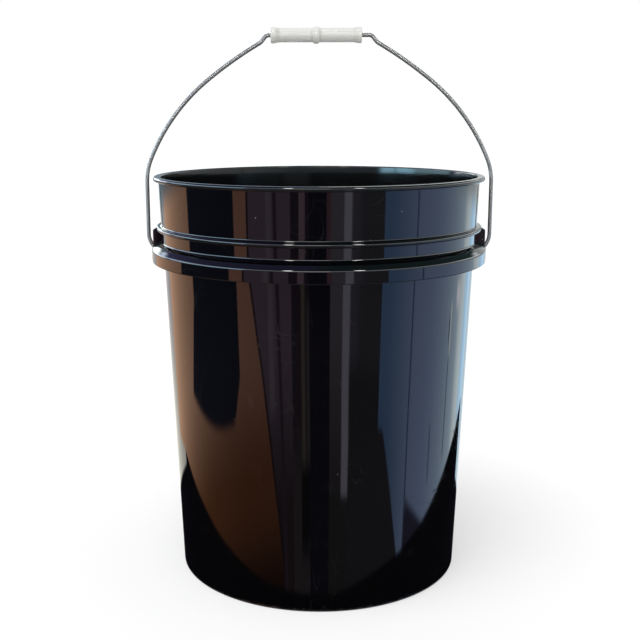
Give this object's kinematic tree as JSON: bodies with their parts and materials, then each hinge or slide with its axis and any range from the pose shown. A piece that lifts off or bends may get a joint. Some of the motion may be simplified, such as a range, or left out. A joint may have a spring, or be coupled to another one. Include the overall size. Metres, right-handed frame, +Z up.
{
  "type": "wash bucket",
  "caption": "Open-top round plastic bucket with a beaded rim, stiffening rib, hollow carrying skirt, swinging wire bail and a plastic hand grip.",
  "frame": {"origin": "floor level at the middle of the base", "axes": "+Z up through the mouth; X along the bail's pivot axis, through both ears; Y across it"},
  "size_m": [0.3198, 0.3066, 0.4994],
  "materials": {
    "pail_plastic": "mirror-gloss black polyethylene with faint moulding waves and fine scuffs",
    "zinc_wire": "bright zinc-plated drawn wire",
    "grip_plastic": "satin off-white polyethylene"
  },
  "bodies": {
    "pail": {"pail_body": "pail_plastic"},
    "bail": {"bail_wire": "zinc_wire"},
    "grip": {"handle_grip": "grip_plastic"}
  },
  "joints": [
    {"name": "bail_swing", "type": "hinge", "parent": "pail", "child": "bail", "pos_m": [0, 0, 0.3005], "axis": [1, 0, 0], "range_deg": [-129, 129]},
    {"name": "grip_spin", "type": "hinge", "parent": "bail", "child": "grip", "pos_m": [0, 0, 0.4919], "axis": [1, 0, 0], "continuous": true}
  ]
}
